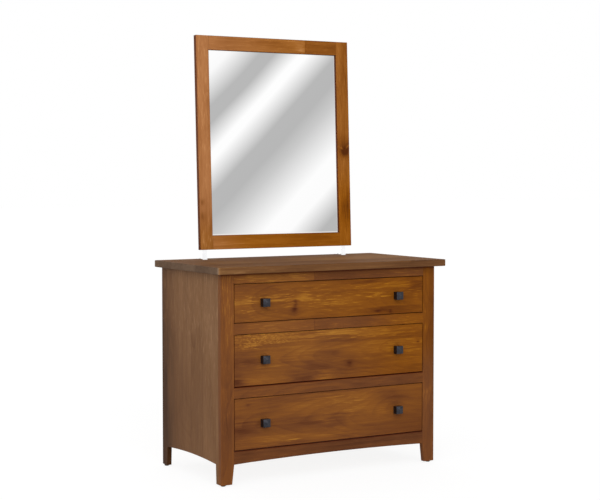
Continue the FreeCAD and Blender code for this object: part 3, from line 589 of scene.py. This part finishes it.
for drawer, (turning, under, over, figure) in drawer_looks.items():
    low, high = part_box(drawer + "_drawer_front")
    front = stained_wood(
        drawer + "_front_wood", "XZY", HONEY, ring=0.006, pith=(0.035, (low.z + high.z) / 2, 0.05),
        rims=((low.x, high.x, -FAR, FAR, RIM, 0.25), (-FAR, FAR, -FAR, high.z, RIM, over),
              (-FAR, FAR, low.z, FAR, RIM, under)),
        fade=(*turning, AMBER), rough=0.42, gloss=0.05, clouds=0.5, streaks=0.28,
        glints=0.08 * figure["sparkle"], **figure)
    finished(drawer + "_drawer_front", front)
    for part, grain in (("side_left", "YZX"), ("side_right", "YZX"), ("back", "XZY")):
        node = "%s_drawer_%s" % (drawer, part)
        rim_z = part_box(node)[1].z
        box_wood = stained_wood(node + "_wood", grain, PALE, figure["seed"] + len(part), ring=0.005,
                                pith=(0.05, 0.3, 0.02), rough=0.4, gloss=0.3, clouds=0.4, streaks=0.5)
        finished(node, box_wood, (BOX_EASE, lambda p: abs(p.z - rim_z) < NEAR / 2))

# Plywood: three-ply drawer bottoms in the grooves of the boxes, and the back of the carcass in its
# rabbet. The peeled veneer has wide, slow figure and is only sealed.
VENEER = ((158, 120, 78), (196, 158, 112), (212, 176, 130), (224, 192, 148))


def plywood(name, grain, seed):
    return stained_wood(name, grain, VENEER, seed, ring=0.02, pith=(0.16, 0.0, 0.1), rough=0.5, gloss=0.3,
                        clouds=0.5, streaks=0.3)


def dress(node, material):
    """Gives a piece of the frame its finish and keeps its mesh."""
    piece = frame["nodes"][node]
    piece.data.materials.clear()
    piece.data.materials.append(material)


for seed, drawer in enumerate(drawer_looks, start=71):
    node = drawer + "_drawer_bottom"
    dress(node, plywood(node + "_ply", "XYZ", seed))
dress("back_panel", plywood("back_panel_ply", "XZY", 75))

# Inner frame: back rails, cleats, slide battens and glue blocks. All are planed pale wood that
# nobody stains, glued and screwed inside the carcass.
inner = (("back_rail_upper", "XZY"), ("back_rail_lower", "XZY"), ("top_cleat_left", "YZX"),
         ("top_cleat_right", "YZX"), ("slide_battens_left", "YZX"), ("slide_battens_right", "YZX"),
         ("corner_blocks", "ZXY"))
for seed, (node, grain) in enumerate(inner, start=81):
    dress(node, stained_wood(node + "_wood", grain, PALE, seed, ring=0.004, pith=(0.05, 0.1, 0.02), rough=0.6,
                             gloss=0.2, clouds=0.5, streaks=0.5))

# Knobs: cast square blocks that widen to a low pyramid face, finished in dark bronze. Each stands
# on a small round foot and is drawn to the drawer front by a bolt from inside.


def dark_bronze():
    material, n, shader, place = fresh_material("dark_bronze")
    cast = n.noise(place, 3.0, scale=900.0)
    cloud = n.noise(place, 2.0, scale=90.0)
    colour = n.ramp(cloud, [(0.3, stain(43, 43, 48)), (0.5, stain(51, 51, 57)), (0.72, stain(62, 59, 61))])
    n.feed(shader.inputs["Base Color"], colour)
    n.feed(shader.inputs["Roughness"], n.total(n.scaled(cloud, 0.3, 0.5), 0.36))
    shader.inputs["Metallic"].default_value = 0.85
    bump = n.add("ShaderNodeBump", Strength=0.3, Distance=0.0002, Height=cast)
    n.feed(shader.inputs["Normal"], bump.outputs[0])
    return material


KNOB_EASE = 0.0006
bronze = dark_bronze()
for drawer in drawer_looks:
    for side in ("left", "right"):
        finished("%s_drawer_knob_%s" % (drawer, side), bronze, (KNOB_EASE, lambda p: p.y < FRONT - NEAR))

# Steel: rolled slides, knob bolts and mirror brackets, all bright zinc plated, with a faint grain
# from the rolls and small cloudy patches in the plating.


def zinc_steel(name, tone, rough, haze):
    """Plated steel. haze is how cloudy and how deeply marked by the rolls it is."""
    material, n, shader, place = fresh_material(name)
    split = n.add("ShaderNodeSeparateXYZ", Vector=place).outputs
    rolled = n.noise(n.join(n.math("MULTIPLY", split[0], 900.0), n.math("MULTIPLY", split[1], 30.0),
                            n.math("MULTIPLY", split[2], 900.0)))
    cloud = n.noise(place, 3.0, scale=60.0)
    dull = [part * (1 - 0.18 * haze) for part in tone]
    n.feed(shader.inputs["Base Color"], n.ramp(cloud, [(0.35, stain(*dull)), (0.65, stain(*tone))]))
    n.feed(shader.inputs["Roughness"],
           n.total(n.scaled(rolled, 0.2 * haze, 0.5), n.scaled(cloud, 0.25 * haze, 0.5), rough))
    shader.inputs["Metallic"].default_value = 1.0
    bump = n.add("ShaderNodeBump", Strength=0.2 * haze, Distance=0.0001, Height=rolled)
    n.feed(shader.inputs["Normal"], bump.outputs[0])
    return material


steel = zinc_steel("zinc_steel", (206, 208, 211), 0.32, 0.3)
for drawer in drawer_looks:
    for member in ("fixed", "middle", "moving"):
        dress("%s_slides_%s" % (drawer, member), steel)
    dress(drawer + "_drawer_knob_bolts", steel)

# Glides: round pads of dark moulded plastic, pressed into the ends of the four feet, so that the
# dresser slides on a floor and the wood stands clear of it.


def glide_plastic():
    material, n, shader, place = fresh_material("glide_plastic")
    grain = n.noise(place, 2.0, scale=1500.0)
    n.feed(shader.inputs["Base Color"], n.ramp(grain, [(0.3, stain(34, 26, 22)), (0.7, stain(56, 44, 38))]))
    n.feed(shader.inputs["Roughness"], n.total(n.scaled(grain, 0.2, 0.5), 0.6))
    bump = n.add("ShaderNodeBump", Strength=0.3, Distance=0.0001, Height=grain)
    n.feed(shader.inputs["Normal"], bump.outputs[0])
    return material


dress("glides", glide_plastic())

# Mirror: four flat frame pieces, tenoned at the corners and stained lighter than the dresser, round a
# silvered glass with a hardboard backing. It leans back a little on its brackets.
MIRROR_AMBER = ((92, 44, 4), (140, 79, 8), (164, 100, 26), (198, 136, 72))
MIRROR_TAN = ((84, 40, 8), (132, 76, 22), (156, 97, 38), (192, 134, 78))
MIRROR_HAZE = ((104, 56, 24), (150, 94, 50), (174, 116, 70), (200, 144, 94))
# Each piece of the frame: its grain and seed, its tones, where they turn into others, the place and
# change of tone where two pieces meet end to end, its patches and its knots
mirror_looks = (
    ("mirror_stile_left", "ZXY", 91.0, MIRROR_TAN, (0.92, 1.12, MIRROR_HAZE), None, (
        (0.95, -0.35, 0.06, 0.03, 0.28), (1.6, -0.35, 0.35, 0.03, 0.2), (1.0, -0.34, 0.1, 0.02, -0.08),
        (1.45, -0.35, 0.12, 0.03, -0.1)),
     ((1.105, -0.356, 0.012, 0.008, 0.3), (1.045, -0.358, 0.014, 0.008, 0.3))),
    ("mirror_stile_right", "ZXY", 94.0, MIRROR_AMBER, (1.1, 1.3, MIRROR_TAN), None, (
        (1.65, 0.35, 0.12, 0.03, -0.18), (1.335, 0.35, 0.035, 0.04, -0.36),
        (1.08, 0.35, 0.1, 0.03, -0.34), (0.95, 0.35, 0.05, 0.03, 0.08), (1.7, 0.35, 0.05, 0.03, 0.06),
        (1.45, 0.35, 0.07, 0.03, 0.02), (1.34, 0.352, 0.0035, 0.03, 0.5)),
     ((1.323, 0.349, 0.010, 0.010, 0.7),)),
    ("mirror_rail_top", "XZY", 97.0, MIRROR_HAZE, (-0.45, 0.15, MIRROR_TAN), (0.157, -0.2), (
        (-0.28, 1.77, 0.18, 0.03, -0.16), (0.33, 1.77, 0.06, 0.03, -0.1), (0.0, 1.77, 0.12, 0.03, -0.12),
        (0.13, 1.77, 0.02, 0.02, 0.2)),
     ()),
    ("mirror_rail_bottom", "XZY", 101.0, MIRROR_HAZE, (-0.5, -0.1, MIRROR_AMBER), None, (
        (-0.2, 0.93, 0.15, 0.012, 0.2), (0.22, 0.94, 0.12, 0.03, -0.18)),
     ()),
)
mirror_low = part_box("mirror_stile_left")[0]
mirror_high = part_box("mirror_stile_right")[1]
LEAN = math.radians(2.4)
# The lean lifts one edge of a rail above the other by this much
RAIL_TILT = 0.0008
# How wide the painted shade is along both long edges of each piece of the mirror's frame
MIRROR_RIM = 0.0012
MIRROR_EASE = 0.0012


def outer_edge(place):
    beside = abs(place.x) > mirror_high.x - NEAR
    return beside or place.z < mirror_low.z + 2 * NEAR or place.z > mirror_high.z - 2 * NEAR


for node, grain, seed, tones, fade, joint, marks, knots in mirror_looks:
    low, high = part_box(node)
    across = (low.x, high.x) if grain == "ZXY" else (low.z + RAIL_TILT, high.z - RAIL_TILT)
    wood = stained_wood(node + "_wood", grain, tones, seed, ring=0.005, pith=(0.04, 0.2, 0.02), joint=joint,
                        rims=((-FAR, FAR, *across, MIRROR_RIM, 0.8),), patches=marks, knots=knots, fade=fade,
                        rough=0.44, gloss=0.04, clouds=0.5, streaks=0.45)
    finished(node, wood, (MIRROR_EASE, outer_edge))

# Glass: a float glass plate, silvered behind and held in the rabbet of the frame. Soft slanting bands
# of painted reflection cross its colour, and the frame's bevel shows as a pale lip of painted reflection
# along its right and lower edge.
REFLECTION_BAND_SLOPE = 0.95
REFLECTION_BAND_STOPS = ((0.70, 183), (0.76, 184), (0.91, 252), (1.03, 253), (1.12, 233), (1.24, 202), (1.33, 183),
              (1.43, 184), (1.57, 254), (1.61, 254), (1.725, 184), (1.795, 184), (1.94, 250), (2.0, 253))
GLASS_RIGHT = 0.314
GLASS_FOOT = 0.966
REFLECTION_BAND_FROM = 0.6
REFLECTION_BAND_TO = 2.1
# How far in from the edge of the glass the painted reflection of the bevel is at its full, and how far in it
# ends
LIP_REFLECTION_RIGHT = (0.004, 0.008)
LIP_REFLECTION_FOOT = (0.002, 0.006)


def silvered_glass():
    material, n, shader, place = fresh_material("silvered_glass")
    split = n.add("ShaderNodeSeparateXYZ", Vector=place).outputs
    waver = n.noise(place, 1.0, scale=2.5)
    # Painted reflection: slanting bands of grey and white laid into the colour of the silver
    reflection_band = n.total(split[2], n.math("MULTIPLY", split[0], -REFLECTION_BAND_SLOPE), n.scaled(waver, 0.03, 0.5))
    share = n.scaled(reflection_band, 1 / (REFLECTION_BAND_TO - REFLECTION_BAND_FROM), REFLECTION_BAND_FROM)
    stops = [((at - REFLECTION_BAND_FROM) / (REFLECTION_BAND_TO - REFLECTION_BAND_FROM), stain(grey, grey, grey)) for at, grey in REFLECTION_BAND_STOPS]
    # Painted reflection of the frame's bevel: a pale lip along the right and lower edge of the glass
    beside = n.spread(split[0], GLASS_RIGHT - LIP_REFLECTION_RIGHT[1], GLASS_RIGHT - LIP_REFLECTION_RIGHT[0])
    below = n.spread(split[2], GLASS_FOOT + LIP_REFLECTION_FOOT[1], GLASS_FOOT + LIP_REFLECTION_FOOT[0])
    lip_reflection = n.math("MAXIMUM", beside, below)
    painted_reflection = n.blend(n.math("MULTIPLY", lip_reflection, 0.6), n.ramp(share, stops), stain(250, 244, 240))
    n.feed(shader.inputs["Base Color"], painted_reflection)
    shader.inputs["Metallic"].default_value = 1.0
    smear = n.noise(place, 3.0, scale=14.0)
    n.feed(shader.inputs["Roughness"], n.total(n.scaled(smear, 0.03, 0.5), 0.03))
    return material


dress("mirror_glass", silvered_glass())

# Backing: a sheet of pressed hardboard in the rabbet behind the glass, brown and matt, with its
# chips showing faintly.


def hardboard():
    material, n, shader, place = fresh_material("hardboard")
    chips = n.noise(place, 4.0, scale=700.0)
    cloud = n.noise(place, 2.0, scale=12.0)
    speck = n.total(n.scaled(chips, 0.8, 0.5), n.scaled(cloud, 0.4, 0.5), 0.5)
    n.feed(shader.inputs["Base Color"], n.ramp(speck, [(0.2, stain(84, 60, 40)), (0.5, stain(112, 82, 56)),
                                                       (0.8, stain(136, 104, 74))]))
    n.feed(shader.inputs["Roughness"], n.total(n.scaled(chips, 0.2, 0.5), 0.72))
    bump = n.add("ShaderNodeBump", Strength=0.3, Distance=0.0002, Height=chips)
    n.feed(shader.inputs["Normal"], bump.outputs[0])
    return material


dress("mirror_backing", hardboard())

# Brackets: bright steel straps, bent where they meet the top board. Each is screwed down behind the
# mirror and up the back of one of its stiles.
STRAP_EASE = 0.0004
strap_steel = zinc_steel("strap_steel", (252, 252, 253), 0.06, 0.2)
for side in ("left", "right"):
    finished("mirror_bracket_" + side, strap_steel, (STRAP_EASE, anywhere))

# Backing clips: small stepped steel plates, each screwed to the back of the mirror's frame, that
# hold the hardboard down in its rabbet.
MIRROR_THICK = 0.020
MIRROR_WIDE = mirror_high.x - mirror_low.x
MIRROR_TALL = 0.897
MIRROR_FOOT = mirror_low.z + MIRROR_THICK * math.sin(LEAN)
CLIP_WIDE = 0.012
CLIP_THICK = 0.0009
# Each step of a clip: how far in from the edge of the frame, and how far out from its back
CLIP_STEPS = ((0.0400, 0.0), (0.0522, 0.0), (0.0536, -0.00195), (0.0610, -0.00195))
CLIP_SCREW = 0.0461
CLIP_INSET = 0.2
CLIP_ASIDE = 0.15
CLIP_EASE = 0.0002
BACKWARD = (0, math.cos(LEAN), -math.sin(LEAN))


def on_back(side, up, out):
    """A point given by its place across, up and out from the face of the leaning mirror."""
    return Vector((side, mirror_low.y + out * math.cos(LEAN) + up * math.sin(LEAN),
                   MIRROR_FOOT - out * math.sin(LEAN) + up * math.cos(LEAN)))


clips = []
for up in (CLIP_INSET, MIRROR_TALL / 2, MIRROR_TALL - CLIP_INSET):
    for sign in (-1, 1):
        clips.append((Vector((sign * MIRROR_WIDE / 2, up)), Vector((-sign, 0))))
for side in (-CLIP_ASIDE, CLIP_ASIDE):
    clips += [(Vector((side, 0)), Vector((0, 1))), (Vector((side, MIRROR_TALL)), Vector((0, -1)))]
clip_form = bmesh.new()
for edge, inward in clips:
    half = Vector((-inward.y, inward.x)) * CLIP_WIDE / 2
    rows = []
    for far, drop in CLIP_STEPS:
        middle = edge + inward * far
        corners = ((middle - half, drop), (middle + half, drop),
                   (middle + half, drop + CLIP_THICK), (middle - half, drop + CLIP_THICK))
        spots = [on_back(spot.x, spot.y, MIRROR_THICK + out) for spot, out in corners]
        rows.append([clip_form.verts.new(spot) for spot in spots])
    for first, second in zip(rows, rows[1:]):
        for turn in range(4):
            clip_form.faces.new((first[turn], first[turn - 1], second[turn - 1], second[turn]))
    clip_form.faces.new(rows[0])
    clip_form.faces.new(rows[-1])
ease(clip_form, CLIP_EASE, anywhere, steps=1)
show("backing_clips", clip_form, steel)

# Screws: zinc plated pan heads with a crossed slot, in the brackets and clips, in the slides, and
# round the back panel. One tree puts a head on each point and turns it the way that point faces.


def head_tree():
    """Puts a pan head on every point, turned to the point's own facing."""
    tree = bpy.data.node_groups.new("pan_heads", "GeometryNodeTree")
    tree.interface.new_socket("Places", in_out="INPUT", socket_type="NodeSocketGeometry")
    for name in ("Radius", "Height"):
        tree.interface.new_socket(name, in_out="INPUT", socket_type="NodeSocketFloat")
    tree.interface.new_socket("Finish", in_out="INPUT", socket_type="NodeSocketMaterial")
    tree.interface.new_socket("Heads", in_out="OUTPUT", socket_type="NodeSocketGeometry")
    n = Nodes(tree)
    source = n.add("NodeGroupInput").outputs
    radius, height = source["Radius"], source["Height"]
    disc = n.add("GeometryNodeMeshCylinder", {"fill_type": "TRIANGLE_FAN"}, Vertices=20, Side_Segments=1,
                 Fill_Segments=3, Radius=radius, Depth=height)
    split = n.add("ShaderNodeSeparateXYZ", Vector=n.add("GeometryNodeInputPosition").outputs[0]).outputs
    off_x, off_y = (n.math("MULTIPLY", split[axis], split[axis]) for axis in (0, 1))
    share = n.math("DIVIDE", n.math("SQRT", n.total(off_x, off_y)), radius)
    upper = n.math("GREATER_THAN", split[2], 0.0)
    round_off = n.math("MULTIPLY", n.math("MULTIPLY", n.math("POWER", share, 3.0), -0.55), upper)
    lift = n.math("MULTIPLY", n.total(round_off, 0.5), height)
    domed = n.add("GeometryNodeSetPosition", Geometry=disc.outputs[0], Offset=n.join(0.0, 0.0, lift))
    recess = n.add("GeometryNodeMeshBoolean", {"operation": "DIFFERENCE"})
    n.feed(recess.inputs[0], domed.outputs[0])
    long, short = n.math("MULTIPLY", radius, 1.2), n.math("MULTIPLY", radius, 0.26)
    for size in ((long, short), (short, long)):
        arm = n.add("GeometryNodeMeshCube", Size=n.join(size[0], size[1], height))
        raised = n.add("GeometryNodeTransform", Geometry=arm.outputs[0], Translation=n.join(0.0, 0.0, height))
        n.feed(recess.inputs[1], raised.outputs[0])
    facing = n.add("GeometryNodeInputNamedAttribute", {"data_type": "FLOAT_VECTOR"}, Name="facing").outputs[0]
    aim = n.add("FunctionNodeAlignRotationToVector", {"axis": "Z"}, Vector=facing)
    placed = n.add("GeometryNodeInstanceOnPoints", Points=source["Places"], Instance=recess.outputs[0],
                   Rotation=aim.outputs[0])
    real = n.add("GeometryNodeRealizeInstances", Geometry=placed.outputs[0])
    dressed = n.add("GeometryNodeSetMaterial", Geometry=real.outputs[0], Material=source["Finish"])
    n.feed(n.add("NodeGroupOutput").inputs[0], dressed.outputs[0])
    return tree


pan_heads = head_tree()


def drive_screws(name, body, places, radius, height):
    """Screw heads at places, each given with the direction that it faces."""
    marks = bpy.data.meshes.new(name + "_marks")
    marks.from_pydata([place for place, facing in places], [], [])
    facings = marks.attributes.new("facing", "FLOAT_VECTOR", "POINT")
    for mark, (place, facing) in zip(facings.data, places):
        mark.vector = facing
    heads = bpy.data.objects.new(name, marks)
    bpy.context.scene.collection.objects.link(heads)
    maker = heads.modifiers.new("pan_heads", "NODES")
    maker.node_group = pan_heads
    inputs = {item.name: item.identifier for item in pan_heads.interface.items_tree if item.in_out == "INPUT"}
    for label, value in (("Radius", radius), ("Height", height), ("Finish", steel)):
        maker[inputs[label]] = value
    bpy.context.view_layer.update()
    mesh = bpy.data.meshes.new_from_object(heads.evaluated_get(bpy.context.evaluated_depsgraph_get()))
    heads.modifiers.remove(maker)
    heads.data = mesh
    mesh.shade_smooth()
    mesh.set_sharp_from_angle(angle=math.radians(35))
    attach(heads, body)


# Radius and height of each size of head
LARGE_HEAD = (0.0042, 0.0024)
MIDDLE_HEAD = (0.0035, 0.0018)
SMALL_HEAD = (0.0028, 0.0014)
STRAP_THICK = 0.003
BRACKET_X = 0.344
FOOT_HOLES = (0.2258, 0.2558)
LEG_HOLES = ((0.21550, 0.97698), (0.21684, 1.00895))
strap_top = top_high.z + STRAP_THICK
bracket_places = []
for x in (-BRACKET_X, BRACKET_X):
    bracket_places += [((x, y, strap_top), (0, 0, 1)) for y in FOOT_HOLES]
    bracket_places += [((x, y, z), BACKWARD) for y, z in LEG_HOLES]
drive_screws("bracket_screws", "root", bracket_places, *LARGE_HEAD)

clip_places = []
for edge, inward in clips:
    spot = edge + inward * CLIP_SCREW
    clip_places.append((on_back(spot.x, spot.y, MIRROR_THICK + CLIP_THICK), BACKWARD))
drive_screws("backing_clip_screws", "root", clip_places, *SMALL_HEAD)

SLIDE_WEB = 0.4405
SLIDE_SCREWS = (-0.1905, -0.0355, 0.1895)
for drawer in drawer_looks:
    low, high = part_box(drawer + "_slides_moving")
    middle = (low.z + high.z) / 2
    places = [((side * SLIDE_WEB, y, middle), (side, 0, 0)) for side in (-1, 1) for y in SLIDE_SCREWS]
    body = frame["nodes"][drawer + "_slides_moving"]["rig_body"]
    drive_screws(drawer + "_slide_screws", body, places, *MIDDLE_HEAD)

BACK_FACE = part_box("back_panel")[1].y
BACK_EDGE = 0.4945
BACK_LOWER, BACK_UPPER = 0.123, 0.806
PITCH_ACROSS, PITCH_UP = 0.141, 0.1366
back_places = [((step * PITCH_ACROSS, BACK_FACE, z), (0, 1, 0))
               for step in range(-3, 4) for z in (BACK_LOWER, BACK_UPPER)]
back_places += [((x, BACK_FACE, BACK_LOWER + step * PITCH_UP), (0, 1, 0))
                for step in range(6) for x in (-BACK_EDGE, BACK_EDGE)]
drive_screws("back_panel_screws", "root", back_places, *MIDDLE_HEAD)

# Studio: a plain pale floor that keeps a soft shadow, soft lamps from the front and the left, and the
# camera where the photograph was taken.
FLOOR_SIZE = 40.0
FLOOR_DROP = 0.0004
floor_form = bmesh.new()
bmesh.ops.create_grid(floor_form, x_segments=1, y_segments=1, size=FLOOR_SIZE)
for vertex in floor_form.verts:
    vertex.co.z = -FLOOR_DROP
floor_mesh = bpy.data.meshes.new("floor")
floor_form.to_mesh(floor_mesh)
floor_form.free()
floor = bpy.data.objects.new("floor", floor_mesh)
bpy.context.scene.collection.objects.link(floor)
floor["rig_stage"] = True


def seen(n):
    """1 for what the camera, a gloss or clear glass sees, and 0 for the light that falls on things."""
    path = n.add("ShaderNodeLightPath").outputs
    either = n.math("MAXIMUM", path["Is Camera Ray"], path["Is Glossy Ray"])
    return n.math("MAXIMUM", either, path["Is Transmission Ray"])


floor_paint = bpy.data.materials.new("floor_paint")
floor_paint.use_nodes = True
n = Nodes(floor_paint.node_tree)
paint = n.tree.nodes["Principled BSDF"]
paint.inputs["Base Color"].default_value = (0.8, 0.8, 0.8, 1.0)
paint.inputs["Roughness"].default_value = 0.9
paint.inputs["Specular IOR Level"].default_value = 0.0
glow = n.add("ShaderNodeEmission", Strength=1.1)
mix = n.add("ShaderNodeMixShader")
n.feed(mix.inputs[0], n.math("MULTIPLY", seen(n), 0.8))
n.feed(mix.inputs[1], paint.outputs[0])
n.feed(mix.inputs[2], glow.outputs[0])
n.feed(n.tree.nodes["Material Output"].inputs["Surface"], mix.outputs[0])
floor_mesh.materials.append(floor_paint)

world = bpy.data.worlds.new("studio")
bpy.context.scene.world = world
world.use_nodes = True
n = Nodes(world.node_tree)
backdrop = n.tree.nodes["Background"]
backdrop.inputs["Color"].default_value = (1.0, 1.0, 1.0, 1.0)
n.feed(backdrop.inputs["Strength"], n.math("MULTIPLY_ADD", seen(n), 0.58, 0.42))

# Each lamp: where its light comes from, how strong it is and how wide it looks
for name, aim, strength, soft in (
    ("key_lamp", (-0.35, -0.85, 0.4), 1.97, 66),
    ("fill_lamp", (-0.85, -0.2, 0.5), 0.5, 60),
    ("back_lamp", (0.1, 0.6, 0.8), 0.4, 50),
):
    lamp = bpy.data.lights.new(name, "SUN")
    lamp.energy = strength
    lamp.angle = math.radians(soft)
    holder = bpy.data.objects.new(name, lamp)
    holder.rotation_euler = Vector(aim).to_track_quat("Z", "Y").to_euler()
    bpy.context.scene.collection.objects.link(holder)

SENSOR = 36.0
LENS_IN_PIXELS = 1497.9
PHOTO_WIDE = 600
YAW, PITCH = 0.53799, 0.05376
camera_data = bpy.data.cameras.new("camera")
camera_data.lens = SENSOR * LENS_IN_PIXELS / PHOTO_WIDE
camera_data.sensor_width = SENSOR
camera_data.clip_end = 100.0
camera = bpy.data.objects.new("camera", camera_data)
camera.location = (-3.2160876, -5.3832317, 1.2421647)
camera.rotation_euler = (math.pi / 2 - PITCH, 0.0, -YAW)
bpy.context.scene.collection.objects.link(camera)
bpy.context.scene.camera = camera

bpy.context.scene.view_settings.view_transform = "Standard"
low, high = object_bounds()
